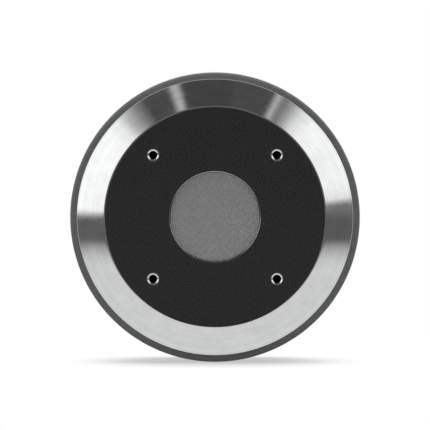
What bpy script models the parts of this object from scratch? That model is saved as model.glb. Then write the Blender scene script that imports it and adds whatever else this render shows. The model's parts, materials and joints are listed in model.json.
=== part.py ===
"""Bolt-on compression driver (horn tweeter motor) with its diaphragm and push terminals.

Every size below is in millimetres, and the helpers turn it into metres. +Z is up. The driver's axis
lies along Y: the gasket face that meets the horn is at y = 0 and faces -Y, and "depth" is the
distance behind it, along +Y. Piece by piece, from the front: gasket, steel front plate with the
pole piece pressed into it, ferrite ring, top plate, diaphragm assembly, rear cover with two
terminals.
"""

import math

import bpy
from mathutils import Matrix, Vector
from mathutils.geometry import interpolate_bezier

MM = 0.001

# Fits
SEAT_GAP = 0.3  # between pieces that touch
SCREW_GAP = 0.3  # round a screw or a pin in its hole
COIL_GAP = 0.4  # each side of the voice coil in the magnetic gap
DOME_ROOM = 0.6  # between the dome at full stroke and the phase plug
TRAVEL_ROOM = 0.5  # that a moving piece keeps at its limit

# Facets round a turn
SEGMENTS = 48
DIAPHRAGM_SEGMENTS = 36
PLUG_SEGMENTS = 32
BUTTON_SEGMENTS = 20
SMALL_SEGMENTS = 12
SHARP_ANGLE = math.radians(35)

# Horn interface
BOLT_COUNT = 4
BOLT_CIRCLE_RADIUS = 50.8
BOLT_FIRST_ANGLE = 45.0
BOLT_HOLE_RADIUS = 2.5  # minor radius of the M6 thread
BOLT_HOLE_DEPTH = 14.0
BOLT_SINK_RADIUS = 3.6
BOLT_SINK_DEPTH = 1.1
GASKET_HOLE_RADIUS = 4.2
GASKET_THICKNESS = 1.5
THROAT_RADIUS = 25.0  # at the mouth
MESH_MARGIN = 0.9
MESH_THICKNESS = 0.5
MESH_SINK = 0.2  # behind the plate's face

# Front plate and pole piece
PLATE_RADIUS = 80.5
PLATE_THICKNESS = 18.0
LAND_MARGIN = 13.7  # flat face outside the bolt circle
LAND_TO_GASKET = 1.1
CHAMFER_DROP = 8.0
CHAMFER_BULGE = 0.5
CHAMFER_STEPS = 4
PLATE_EDGE = 0.8  # small bevel outside the chamfer
POLE_NECK_WALL = 6.0
POLE_LIP = 2.8
THROAT_NECK_RADIUS = 19.8  # where the phase plug ends
PLUG_SEAT_DEPTH = 12.4

# Magnet and top plate
MAGNET_RADIUS = 85.0
MAGNET_THICKNESS = 20.0
MAGNET_AIR = 7.2  # between the pole piece and the magnet's bore
MAGNET_EDGE = 1.0
TOP_PLATE_RADIUS = 80.0
TOP_PLATE_THICKNESS = 10.0

# Voice coil and dome
COIL_RADIUS = 37.3  # inside of the former
FORMER_WALL = 0.2
COIL_BOND = 0.1  # lacquer between former and winding
COIL_WIRE = 0.5
COIL_LENGTH = 7.0
FORMER_TAIL = 0.5  # in front of the winding
SLEEVE_WALL = 0.8
SLEEVE_OVERRUN = 2.0
DOME_HEIGHT = 13.0
DOME_WALL = 0.4
DOME_STEPS = 5
DIAPHRAGM_TRAVEL = 0.4  # each way

# Surround and diaphragm frame
LIP_OFFSET = 0.5
LIP_WIDTH = 1.0
ROLL_WIDTH = 4.9
ROLL_HEIGHT = 1.2
ROLL_STEPS = 4
SURROUND_FLANGE = 3.5
SURROUND_WALL = 0.2
FRAME_WIDTH = 16.2
FRAME_THICKNESS = 3.5
FRAME_SCREW_INSET = 6.0
FRAME_SCREW_COUNT = 4
FRAME_SCREW_BITE = 7.0
PIN_RADIUS = 1.5
PIN_BITE = 4.0

# Phase plug
PLUG_FLANGE_INSET = 0.3
BULLET_LEAD = 4.3  # past the front of the plug, into the throat
RIB_WIDTH = 1.6
RIB_FRONT = 5.7  # behind the plug's front
RIB_LENGTH = 12.0

# Rear cover
COVER_ROOM = 2.0  # round the diaphragm frame
COVER_WALL = 4.0
COVER_FLANGE_THICKNESS = 4.2
COVER_BACK_THICKNESS = 4.0
COVER_EDGE = 6.0
CHAMBER_DEPTH = 28.2
COVER_GASKET_THICKNESS = 0.8
COVER_SCREW_COUNT = 6
COVER_SCREW_BITE = 8.0
HEAD_ROOM = 0.6  # round a cover screw's head
BADGE_RADIUS = 32.0
BADGE_DEPTH = 0.8
FIN_STEP = 15.0  # degrees
FIN_REACH = 4.0
FIN_WIDTH = 2.4
FIN_LENGTH = 21.0
PAD_RADIUS = 48.0
PAD_THICKNESS = 5.0

# M4 screws
SCREW_RADIUS = 2.0
SCREW_HEAD_RADIUS = 3.9
SCREW_HEAD_HEIGHT = 2.6
SCREW_HEAD_EDGE = 0.8

# Terminal block on the top of the cover, and the two push terminals on it
BLOCK_HALF_WIDTH = 22.0
BLOCK_RISE = 3.0  # above the cover's side
BLOCK_WALL = 5.0
BLOCK_LENGTH = 22.0
BLOCK_INSET = 0.5  # in front of the chamber's back
BLOCK_EDGE = 3.0
TERMINAL_SPACING = 20.0
TERMINAL_INSET = 11.0  # behind the front of the block
BUSH_FLANGE_RADIUS = 6.5
BUSH_FLANGE_THICKNESS = 2.0
BUSH_NECK_RADIUS = 3.4
POST_RADIUS = 2.0
POST_HEAD_RADIUS = 3.0
POST_HEAD_HEIGHT = 1.0
WIRE_HOLE_RADIUS = 0.8
BUTTON_RADIUS = 5.4
BUTTON_HEIGHT = 5.2
BUTTON_SKIN = 2.0
BUTTON_EDGE = 0.8
BUTTON_TRAVEL = 2.5
SPRING_RADIUS = 3.3
SPRING_WIRE_RADIUS = 0.3
SPRING_TURNS = 3
SPRING_POINTS = 10
LUG_RADIUS = 4.2
LUG_THICKNESS = 0.6
LUG_REACH = 6.6
LUG_WIDTH = 3.0
NUT_RADIUS = 4.0
NUT_HEIGHT = 2.8
POST_TAIL = 1.2

# Contact tabs and inside wires
TAB_ANGLE = 20.0  # each side of straight up
TAB_WIDTH = 6.0
TAB_THICKNESS = 0.8
TAB_LENGTH = 8.5
TAB_INSET = 2.0  # inside the frame's rim
TONGUE_SHARE = 0.6  # of the tab's width
SOLDER_INSET = 1.5  # of a wire's end inside a tongue or a lug
LEAD_ARCH = 1.0  # over the surround's roll
TAB_RISE = 5.0
LEAD_WIRE_RADIUS = 0.8
WIRE_END_GAP = 0.45  # a slanted wire end keeps this to what it is soldered to
COIL_LEAD_RADIUS = 0.3
WIRE_STEPS = 5

# Worked-out radii
LAND_RADIUS = BOLT_CIRCLE_RADIUS + LAND_MARGIN
GASKET_RADIUS = LAND_RADIUS - LAND_TO_GASKET
MESH_RADIUS = THROAT_RADIUS + MESH_MARGIN
MESH_SEAT_RADIUS = MESH_RADIUS + SEAT_GAP
GASKET_BORE_RADIUS = MESH_SEAT_RADIUS + SEAT_GAP
NECK_RADIUS = THROAT_RADIUS + POLE_NECK_WALL
SLEEVE_OUTER = COIL_RADIUS - COIL_GAP
SLEEVE_INNER = SLEEVE_OUTER - SLEEVE_WALL
POLE_RADIUS = SLEEVE_INNER - SEAT_GAP
PLUG_SEAT_RADIUS = POLE_RADIUS - POLE_LIP
FORMER_OUTER = COIL_RADIUS + FORMER_WALL
COIL_INNER = FORMER_OUTER + COIL_BOND
COIL_OUTER = COIL_INNER + COIL_WIRE
TOP_PLATE_BORE = COIL_OUTER + COIL_GAP
MAGNET_BORE = POLE_RADIUS + MAGNET_AIR
LIP_RADIUS = COIL_RADIUS + LIP_OFFSET
ROLL_INNER = LIP_RADIUS + LIP_WIDTH
ROLL_OUTER = ROLL_INNER + ROLL_WIDTH
SURROUND_OUTER = ROLL_OUTER + SURROUND_FLANGE
FRAME_INNER = ROLL_OUTER + SEAT_GAP
FRAME_OUTER = FRAME_INNER + FRAME_WIDTH
FRAME_SCREW_CIRCLE = FRAME_OUTER - FRAME_SCREW_INSET
COVER_INNER = FRAME_OUTER + COVER_ROOM
COVER_OUTER = COVER_INNER + COVER_WALL
COVER_SCREW_CIRCLE = COVER_OUTER + SCREW_HEAD_RADIUS + HEAD_ROOM
FLANGE_OUTER = COVER_SCREW_CIRCLE + SCREW_HEAD_RADIUS + HEAD_ROOM

# Worked-out depths, front to back
PLATE_FRONT = GASKET_THICKNESS + SEAT_GAP
PLATE_BACK = PLATE_FRONT + PLATE_THICKNESS
MESH_SEAT_DEPTH = PLATE_FRONT + MESH_SINK + MESH_THICKNESS + SEAT_GAP
MAGNET_FRONT = PLATE_BACK + SEAT_GAP
MAGNET_BACK = MAGNET_FRONT + MAGNET_THICKNESS
TOP_PLATE_FRONT = MAGNET_BACK + SEAT_GAP
TOP_PLATE_BACK = TOP_PLATE_FRONT + TOP_PLATE_THICKNESS
PLUG_FRONT = TOP_PLATE_BACK - PLUG_SEAT_DEPTH + SEAT_GAP
FRAME_FRONT = TOP_PLATE_BACK + SEAT_GAP
FRAME_BACK = FRAME_FRONT + FRAME_THICKNESS
DOME_BASE = FRAME_BACK + SEAT_GAP
FORMER_BACK = DOME_BASE - SEAT_GAP
COIL_FRONT = (TOP_PLATE_FRONT + TOP_PLATE_BACK - COIL_LENGTH) / 2
FORMER_FRONT = COIL_FRONT - FORMER_TAIL
COVER_FRONT = FRAME_FRONT + COVER_GASKET_THICKNESS + SEAT_GAP
FLANGE_BACK = COVER_FRONT + COVER_FLANGE_THICKNESS
CHAMBER_BACK = COVER_FRONT + CHAMBER_DEPTH
COVER_BACK = CHAMBER_BACK + COVER_BACK_THICKNESS
BLOCK_BACK = CHAMBER_BACK - BLOCK_INSET
BLOCK_FRONT = BLOCK_BACK - BLOCK_LENGTH
TERMINAL_DEPTH = BLOCK_FRONT + TERMINAL_INSET

# Worked-out dome: a spherical cap of base COIL_RADIUS and height DOME_HEIGHT
DOME_SPHERE = (COIL_RADIUS**2 + DOME_HEIGHT**2) / (2 * DOME_HEIGHT)
DOME_CENTRE = DOME_BASE + DOME_HEIGHT - DOME_SPHERE
PLUG_SPHERE = DOME_SPHERE - DOME_WALL - DIAPHRAGM_TRAVEL - DOME_ROOM

# Worked-out heights of the terminals
BLOCK_TOP = COVER_OUTER + BLOCK_RISE
POCKET_TOP = BLOCK_TOP - BLOCK_WALL
BUSH_TOP = BLOCK_TOP + SEAT_GAP + BUSH_FLANGE_THICKNESS
BUTTON_BOTTOM = BUSH_TOP + BUTTON_TRAVEL + TRAVEL_ROOM
BUTTON_TOP = BUTTON_BOTTOM + BUTTON_HEIGHT
POST_HEAD_BOTTOM = BUTTON_TOP + SEAT_GAP
LUG_TOP = POCKET_TOP - SEAT_GAP
NUT_TOP = LUG_TOP - LUG_THICKNESS - SEAT_GAP
NUT_BOTTOM = NUT_TOP - NUT_HEIGHT

# Finishes: linear colour, roughness, metallic
FINISHES = {
    "turned_steel": ((0.62, 0.62, 0.62), 0.22, 1.0),
    "ferrite": ((0.07, 0.07, 0.07), 0.65, 0.1),
    "black_foam": ((0.022, 0.022, 0.022), 0.95, 0.0),
    "steel_mesh": ((0.45, 0.45, 0.45), 0.35, 1.0),
    "plated_steel": ((0.52, 0.52, 0.52), 0.30, 1.0),
    "copper": ((0.72, 0.33, 0.18), 0.30, 1.0),
    "black_plastic": ((0.015, 0.015, 0.015), 0.55, 0.0),
    "titanium": ((0.42, 0.41, 0.40), 0.35, 1.0),
    "former_film": ((0.32, 0.15, 0.04), 0.40, 0.0),
    "surround_film": ((0.10, 0.08, 0.05), 0.45, 0.0),
    "black_felt": ((0.02, 0.02, 0.02), 1.0, 0.0),
    "gasket_fibre": ((0.05, 0.05, 0.05), 0.9, 0.0),
    "black_screw": ((0.03, 0.03, 0.03), 0.35, 0.8),
    "brass": ((0.72, 0.50, 0.20), 0.25, 1.0),
    "red_plastic": ((0.50, 0.01, 0.01), 0.35, 0.0),
    "wire_red": ((0.42, 0.02, 0.02), 0.5, 0.0),
    "wire_black": ((0.02, 0.02, 0.02), 0.5, 0.0),
}

SIDES = {"red": 1, "black": -1}


def clear_scene():
    """Remove every object, and the meshes and curves that they leave."""
    for piece in list(bpy.data.objects):
        bpy.data.objects.remove(piece, do_unlink=True)
    for mesh in list(bpy.data.meshes):
        bpy.data.meshes.remove(mesh)
    for curve in list(bpy.data.curves):
        bpy.data.curves.remove(curve)


def new_collection(name):
    collection = bpy.data.collections.new(name)
    bpy.context.scene.collection.children.link(collection)
    return collection


def finish_material(piece_name, finish):
    """One Principled material for one piece."""
    colour, roughness, metallic = FINISHES[finish]
    material = bpy.data.materials.new(f"{piece_name}_{finish}")
    material.use_nodes = True
    shader = material.node_tree.nodes["Principled BSDF"]
    shader.inputs["Base Color"].default_value = (*colour, 1.0)
    shader.inputs["Roughness"].default_value = roughness
    shader.inputs["Metallic"].default_value = metallic
    material.diffuse_color = (*colour, 1.0)
    return material


class Workshop:
    """The two collections, and the ways to make a piece or a cutter in them."""

    def __init__(self):
        self.parts = new_collection("car_tweeter")
        self.cutters = new_collection("cutters")
        self.driver_axis = self.empty("driver_axis", (0, 0, 0), (math.pi / 2, 0, 0))

    def empty(self, name, place, turn=(0, 0, 0)):
        axis = bpy.data.objects.new(name, None)
        axis.location = [value * MM for value in place]
        axis.rotation_euler = turn
        self.parts.objects.link(axis)
        return axis

    def add(self, name, data, finish, parent=None):
        """Put mesh or curve data in the scene as a piece, or as a cutter when it has no finish."""
        piece = bpy.data.objects.new(name, data)
        piece.parent = parent
        if finish:
            self.parts.objects.link(piece)
            data.materials.append(finish_material(name, finish))
        else:
            self.cutters.objects.link(piece)
            piece.hide_render = True
            piece.display_type = "WIRE"
        return piece

    def turned(self, name, profile, finish, parent=None, segments=SEGMENTS, solid=False):
        """Turn a (radius, height) profile about Z. Its outer side runs from top to bottom.

        A solid profile starts and ends on the axis; any other is closed to a ring.
        """
        mesh = bpy.data.meshes.new(name)
        points = [(radius * MM, 0.0, height * MM) for radius, height in profile]
        edges = [(i, i + 1) for i in range(len(points) - 1)]
        if not solid:
            edges.append((len(points) - 1, 0))
        mesh.from_pydata(points, edges, [])
        piece = self.add(name, mesh, finish, parent)
        screw = piece.modifiers.new("Turn", "SCREW")
        screw.axis = "Z"
        screw.steps = segments
        screw.render_steps = segments
        screw.use_merge_vertices = True
        screw.merge_threshold = 0.00001
        return piece

    def axial(self, name, profile, finish, segments=SEGMENTS, solid=False):
        """Turn a (radius, depth) profile about the driver's axis."""
        heights = [(radius, -depth) for radius, depth in profile]
        return self.turned(name, heights, finish, self.driver_axis, segments, solid)

    def block(self, name, low, high, finish, parent=None):
        """A box between two corners."""
        low, high = Vector(low) * MM, Vector(high) * MM
        bpy.ops.mesh.primitive_cube_add(size=1, location=(0, 0, 0))
        cube = bpy.context.object
        mesh = cube.data
        mesh.name = name
        bpy.data.objects.remove(cube)
        size = high - low
        place = Matrix.Translation((low + high) / 2)
        mesh.transform(place @ Matrix.Diagonal((*size, 1)))
        return self.add(name, mesh, finish, parent)

    def rods(self, name, places, radius, front, back, segments=SMALL_SEGMENTS):
        """A cutter of one or more rods along the driver's axis."""
        mesh = bpy.data.meshes.new(name)
        cutter = self.add(name, mesh, None, self.driver_axis)
        depth = (back - front) * MM
        join = []
        for x, z in places:
            bpy.ops.mesh.primitive_cylinder_add(
                vertices=segments,
                radius=radius * MM,
                depth=depth,
                location=(x * MM, z * MM, -(front + back) / 2 * MM),
            )
            join.append(bpy.context.object)
        gather(cutter, join)
        return cutter

    def tube(self, name, points, radius, finish, parent=None):
        """A round wire along the points, with closed ends."""
        curve = bpy.data.curves.new(name, "CURVE")
        curve.dimensions = "3D"
        curve.bevel_depth = radius * MM
        curve.bevel_resolution = 2
        curve.use_fill_caps = True
        spline = curve.splines.new("POLY")
        spline.points.add(len(points) - 1)
        for point, place in zip(spline.points, points):
            point.co = (*[value * MM for value in place], 1.0)
        return self.add(name, curve, finish, parent)


def gather(target, sources):
    """Move the sources' meshes, in place, into the target's mesh."""
    vertices, faces = [], []
    for source in sources:
        start = len(vertices)
        place = Matrix.LocRotScale(source.location, source.rotation_euler, source.scale)
        vertices += [place @ vertex.co for vertex in source.data.vertices]
        faces += [[start + i for i in face.vertices] for face in source.data.polygons]
        bpy.data.objects.remove(source)
    target.data.from_pydata(vertices, [], faces)


def boolean(piece, other, operation):
    """Cut the other shape from the piece, or join it on."""
    step = piece.modifiers.new(f"{operation.title()} {other.name}", "BOOLEAN")
    step.operation = operation
    step.object = other
    step.solver = "EXACT"


def settle(piece):
    """Fix a piece's modifiers into its mesh and shade its round faces smooth."""
    depsgraph = bpy.context.evaluated_depsgraph_get()
    mesh = bpy.data.meshes.new_from_object(piece.evaluated_get(depsgraph))
    piece.modifiers.clear()
    piece.data = mesh
    mesh.shade_smooth()
    mesh.set_sharp_from_angle(angle=SHARP_ANGLE)


def ring(inner, outer, front, back):
    """A plain ring's profile about the driver's axis."""
    return [(inner, front), (outer, front), (outer, back), (inner, back)]


def around(radius, count, first=0.0):
    """Points spaced evenly round the driver's axis, as (x, z)."""
    angles = [math.radians(first + 360 / count * i) for i in range(count)]
    return [(radius * math.cos(angle), radius * math.sin(angle)) for angle in angles]


def plug_back(radius):
    """Depth of the phase plug's rear face, which follows the dome."""
    return DOME_CENTRE + math.sqrt(PLUG_SPHERE**2 - radius**2)


def smooth_route(corners):
    """Points of a smooth curve through the corners."""
    corners = [Vector(corner) for corner in corners]
    ends = [corners[0] * 2 - corners[1], *corners, corners[-1] * 2 - corners[-2]]
    points = [corners[0]]
    for i in range(1, len(ends) - 2):
        handle_out = ends[i] + (ends[i + 1] - ends[i - 1]) / 6
        handle_in = ends[i + 1] - (ends[i + 2] - ends[i]) / 6
        stretch = interpolate_bezier(ends[i], handle_out, handle_in, ends[i + 1], WIRE_STEPS)
        points += stretch[1:]
    return points


def make_front_gasket(shop):
    profile = ring(GASKET_BORE_RADIUS, GASKET_RADIUS, 0.0, GASKET_THICKNESS)
    gasket = shop.axial("front_gasket", profile, "black_foam")
    places = around(BOLT_CIRCLE_RADIUS, BOLT_COUNT, BOLT_FIRST_ANGLE)
    holes = shop.rods("gasket_holes", places, GASKET_HOLE_RADIUS, -1.0, PLATE_FRONT)
    boolean(gasket, holes, "DIFFERENCE")


def chamfer_profile():
    """Points down the plate's broad chamfer, bulged a little, and its small outer edge."""
    width = PLATE_RADIUS - PLATE_EDGE - LAND_RADIUS
    points = []
    for i in range(CHAMFER_STEPS + 1):
        along = i / CHAMFER_STEPS
        bulge = CHAMFER_BULGE * math.sin(math.pi * along)
        points.append((LAND_RADIUS + width * along, PLATE_FRONT + CHAMFER_DROP * along - bulge))
    points.append((PLATE_RADIUS, PLATE_FRONT + CHAMFER_DROP + PLATE_EDGE))
    return points


def make_front_plate(shop):
    bore = NECK_RADIUS + SEAT_GAP
    profile = [(bore, PLATE_FRONT), *chamfer_profile(), (PLATE_RADIUS, PLATE_BACK), (bore, PLATE_BACK)]
    plate = shop.axial("front_plate", profile, "turned_steel")
    places = around(BOLT_CIRCLE_RADIUS, BOLT_COUNT, BOLT_FIRST_ANGLE)
    hole_end = PLATE_FRONT + BOLT_HOLE_DEPTH
    holes = shop.rods("bolt_holes", places, BOLT_HOLE_RADIUS, 0.0, hole_end)
    sink_end = PLATE_FRONT + BOLT_SINK_DEPTH
    sinks = shop.rods("bolt_sinks", places, BOLT_SINK_RADIUS, 0.0, sink_end)
    boolean(plate, holes, "DIFFERENCE")
    boolean(plate, sinks, "DIFFERENCE")


def make_pole_piece(shop):
    profile = [
        (MESH_SEAT_RADIUS, PLATE_FRONT),
        (NECK_RADIUS, PLATE_FRONT),
        (NECK_RADIUS, MAGNET_FRONT),
        (POLE_RADIUS, MAGNET_FRONT),
        (POLE_RADIUS, TOP_PLATE_BACK),
        (PLUG_SEAT_RADIUS, TOP_PLATE_BACK),
        (PLUG_SEAT_RADIUS, PLUG_FRONT - SEAT_GAP),
        (THROAT_NECK_RADIUS, PLUG_FRONT - SEAT_GAP),
        (THROAT_RADIUS, MESH_SEAT_DEPTH),
        (MESH_SEAT_RADIUS, MESH_SEAT_DEPTH),
    ]
    shop.axial("pole_piece", profile, "plated_steel")


def make_throat_mesh(shop):
    back = MESH_SEAT_DEPTH - SEAT_GAP
    front = back - MESH_THICKNESS
    profile = [(0.0, front), (MESH_RADIUS, front), (MESH_RADIUS, back), (0.0, back)]
    shop.axial("throat_mesh", profile, "steel_mesh", solid=True)


def make_ferrite_magnet(shop):
    profile = [
        (MAGNET_BORE, MAGNET_FRONT),
        (MAGNET_RADIUS - MAGNET_EDGE, MAGNET_FRONT),
        (MAGNET_RADIUS, MAGNET_FRONT + MAGNET_EDGE),
        (MAGNET_RADIUS, MAGNET_BACK - MAGNET_EDGE),
        (MAGNET_RADIUS - MAGNET_EDGE, MAGNET_BACK),
        (MAGNET_BORE, MAGNET_BACK),
    ]
    shop.axial("ferrite_magnet", profile, "ferrite")


def cover_screw_places():
    return around(COVER_SCREW_CIRCLE, COVER_SCREW_COUNT)


def frame_screw_places():
    return around(FRAME_SCREW_CIRCLE, FRAME_SCREW_COUNT, 180 / FRAME_SCREW_COUNT)


def pin_places():
    return around(FRAME_SCREW_CIRCLE, 2)


def make_top_plate(shop):
    profile = ring(TOP_PLATE_BORE, TOP_PLATE_RADIUS, TOP_PLATE_FRONT, TOP_PLATE_BACK)
    plate = shop.axial("top_plate", profile, "plated_steel")
    holes = [
        ("cover", cover_screw_places(), SCREW_RADIUS, COVER_SCREW_BITE),
        ("frame", frame_screw_places(), SCREW_RADIUS, FRAME_SCREW_BITE),
        ("pin", pin_places(), PIN_RADIUS, PIN_BITE),
    ]
    for use, places, radius, bite in holes:
        front = TOP_PLATE_BACK - bite - SCREW_GAP
        name = f"top_plate_{use}_holes"
        cutter = shop.rods(name, places, radius + SCREW_GAP, front, TOP_PLATE_BACK + 1.0)
        boolean(plate, cutter, "DIFFERENCE")


def make_shorting_sleeve(shop):
    sleeve = ring(SLEEVE_INNER, SLEEVE_OUTER, TOP_PLATE_FRONT - SLEEVE_OVERRUN, TOP_PLATE_BACK)
    shop.axial("shorting_sleeve", sleeve, "copper", DIAPHRAGM_SEGMENTS)


def plug_ring(back_radii, middle, front):
    """Profile of one ring of the plug: back from inner to outer wall, bent at its middle."""
    inner_back, outer_back = back_radii
    inner_middle, outer_middle, middle_depth = middle
    inner_front, outer_front, front_depth = front
    return [
        (inner_front, front_depth),
        (outer_front, front_depth),
        (outer_middle, middle_depth),
        (outer_back, plug_back(outer_back)),
        (inner_back, plug_back(inner_back)),
        (inner_middle, middle_depth),
    ]


def make_phase_plug(shop):
    """A bullet and two rings inside an outer shell, tied by a cross of thin ribs."""
    reach = PLUG_SEAT_RADIUS - SEAT_GAP
    flange = POLE_RADIUS - PLUG_FLANGE_INSET
    middle = PLUG_FRONT + 11.7
    shell_inner = reach * 0.948
    shell = [
        (THROAT_NECK_RADIUS + SEAT_GAP, PLUG_FRONT),
        (reach, PLUG_FRONT),
        (reach, FRAME_FRONT),
        (flange, FRAME_FRONT),
        (flange, plug_back(flange)),
        (shell_inner, plug_back(shell_inner)),
        (reach * 0.734, middle),
    ]
    outer_ring = plug_ring(
        (reach * 0.642, reach * 0.902),
        (reach * 0.489, reach * 0.642, middle),
        (reach * 0.428, reach * 0.453, PLUG_FRONT + 3.7),
    )
    inner_ring = plug_ring(
        (reach * 0.336, reach * 0.596),
        (reach * 0.290, reach * 0.413, middle),
        (reach * 0.245, reach * 0.269, PLUG_FRONT + 1.7),
    )
    bullet_radius = reach * 0.29
    bullet = [
        (0.0, PLUG_FRONT - BULLET_LEAD),
        (bullet_radius * 0.17, PLUG_FRONT - BULLET_LEAD * 0.75),
        (bullet_radius * 0.42, PLUG_FRONT + 3.7),
        (bullet_radius * 0.74, middle),
        (bullet_radius, plug_back(bullet_radius)),
        (bullet_radius * 0.5, plug_back(bullet_radius * 0.5)),
        (0.0, plug_back(0.0)),
    ]
    plug = shop.axial("phase_plug", shell, "black_plastic", PLUG_SEGMENTS)
    rings = [
        shop.axial("plug_outer_ring", outer_ring, None, PLUG_SEGMENTS),
        shop.axial("plug_inner_ring", inner_ring, None, PLUG_SEGMENTS),
        shop.axial("plug_bullet", bullet, None, PLUG_SEGMENTS, solid=True),
    ]
    rib_front = PLUG_FRONT + RIB_FRONT
    rib_back = rib_front + RIB_LENGTH
    long, thin = reach * 0.918, RIB_WIDTH / 2
    ribs = [
        shop.block("plug_rib_level", (-long, rib_front, -thin), (long, rib_back, thin), None),
        shop.block("plug_rib_upright", (-thin, rib_front, -long), (thin, rib_back, long), None),
    ]
    for other in [*ribs, *rings]:
        boolean(plug, other, "UNION")


def cap_profile(sphere, reach, steps):
    """Points of a spherical cap round the dome's centre, from the axis to the reach angle."""
    angles = [reach * i / steps for i in range(steps + 1)]
    return [(sphere * math.sin(a), DOME_CENTRE + sphere * math.cos(a)) for a in angles]


def make_diaphragm(shop):
    reach = math.asin(COIL_RADIUS / DOME_SPHERE)
    inside = cap_profile(DOME_SPHERE - DOME_WALL, reach, DOME_STEPS)
    outside = cap_profile(DOME_SPHERE, reach, DOME_STEPS)
    dome = [*inside, *reversed(outside)]
    shop.axial("diaphragm_dome", dome, "titanium", DIAPHRAGM_SEGMENTS, solid=True)
    former = ring(COIL_RADIUS, FORMER_OUTER, FORMER_FRONT, FORMER_BACK)
    shop.axial("coil_former", former, "former_film", DIAPHRAGM_SEGMENTS)
    winding = ring(COIL_INNER, COIL_OUTER, COIL_FRONT, COIL_FRONT + COIL_LENGTH)
    shop.axial("voice_coil", winding, "copper", DIAPHRAGM_SEGMENTS)


def make_surround(shop):
    """A thin ring with one shallow roll between its two flat lips."""
    line = [(LIP_RADIUS, 0.0)]
    for i in range(ROLL_STEPS + 1):
        along = i / ROLL_STEPS
        rise = ROLL_HEIGHT * math.sin(math.pi * along)
        line.append((ROLL_INNER + ROLL_WIDTH * along, rise))
    line.append((SURROUND_OUTER, 0.0))
    front = [(radius, DOME_BASE + rise) for radius, rise in line]
    back = [(radius, depth + SURROUND_WALL) for radius, depth in front]
    shop.axial("surround", [*front, *reversed(back)], "surround_film", DIAPHRAGM_SEGMENTS)


def make_screw(shop, name, place, seat, bite_depth):
    """A pan-head screw along the driver's axis, its head behind the seat depth."""
    head_front = seat + SEAT_GAP
    head_back = head_front + SCREW_HEAD_HEIGHT
    profile = [
        (0.0, -bite_depth),
        (SCREW_RADIUS, -bite_depth),
        (SCREW_RADIUS, -head_front),
        (SCREW_HEAD_RADIUS, -head_front),
        (SCREW_HEAD_RADIUS, -(head_back - SCREW_HEAD_EDGE)),
        (SCREW_HEAD_RADIUS - SCREW_HEAD_EDGE, -head_back),
        (0.0, -head_back),
    ]
    screw = shop.turned(name, profile, "black_screw", shop.driver_axis, SMALL_SEGMENTS, solid=True)
    screw.location = (place[0] * MM, place[1] * MM, 0.0)


def make_diaphragm_frame(shop):
    profile = ring(FRAME_INNER, FRAME_OUTER, FRAME_FRONT, FRAME_BACK)
    frame = shop.axial("diaphragm_frame", profile, "black_plastic")
    before, behind = TOP_PLATE_BACK, FRAME_BACK + 1.0
    screw_hole = SCREW_RADIUS + SCREW_GAP
    screws = shop.rods("frame_screw_holes", frame_screw_places(), screw_hole, before, behind)
    pins = shop.rods("frame_pin_holes", pin_places(), PIN_RADIUS + SCREW_GAP, before, behind)
    boolean(frame, screws, "DIFFERENCE")
    boolean(frame, pins, "DIFFERENCE")
    for i, place in enumerate(frame_screw_places(), 1):
        make_screw(shop, f"frame_screw_{i}", place, FRAME_BACK, TOP_PLATE_BACK - FRAME_SCREW_BITE)
    front, back = TOP_PLATE_BACK - PIN_BITE, FRAME_BACK
    pin_profile = [(0.0, -front), (PIN_RADIUS, -front), (PIN_RADIUS, -back), (0.0, -back)]
    for i, place in enumerate(pin_places(), 1):
        name = f"locating_pin_{i}"
        pin = shop.turned(name, pin_profile, "plated_steel", shop.driver_axis, SMALL_SEGMENTS, True)
        pin.location = (place[0] * MM, place[1] * MM, 0.0)


def make_cover_gasket(shop):
    profile = ring(COVER_INNER, FLANGE_OUTER, FRAME_FRONT, FRAME_FRONT + COVER_GASKET_THICKNESS)
    gasket = shop.axial("cover_gasket", profile, "gasket_fibre")
    hole = SCREW_RADIUS + SCREW_GAP
    holes = shop.rods("cover_gasket_holes", cover_screw_places(), hole, TOP_PLATE_BACK, COVER_FRONT)
    boolean(gasket, holes, "DIFFERENCE")


def fin_angles():
    """Angles of the cooling fins: clear of the screws and of the terminal block."""
    screw_step = 360 / COVER_SCREW_COUNT
    block_reach = math.degrees(math.asin((BLOCK_HALF_WIDTH + FIN_WIDTH) / COVER_OUTER))
    angles = [FIN_STEP * i for i in range(round(360 / FIN_STEP))]
    clear_of_screws = [angle for angle in angles if angle % screw_step > 1e-6]
    return [angle for angle in clear_of_screws if abs(angle - 90) > block_reach]


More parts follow.
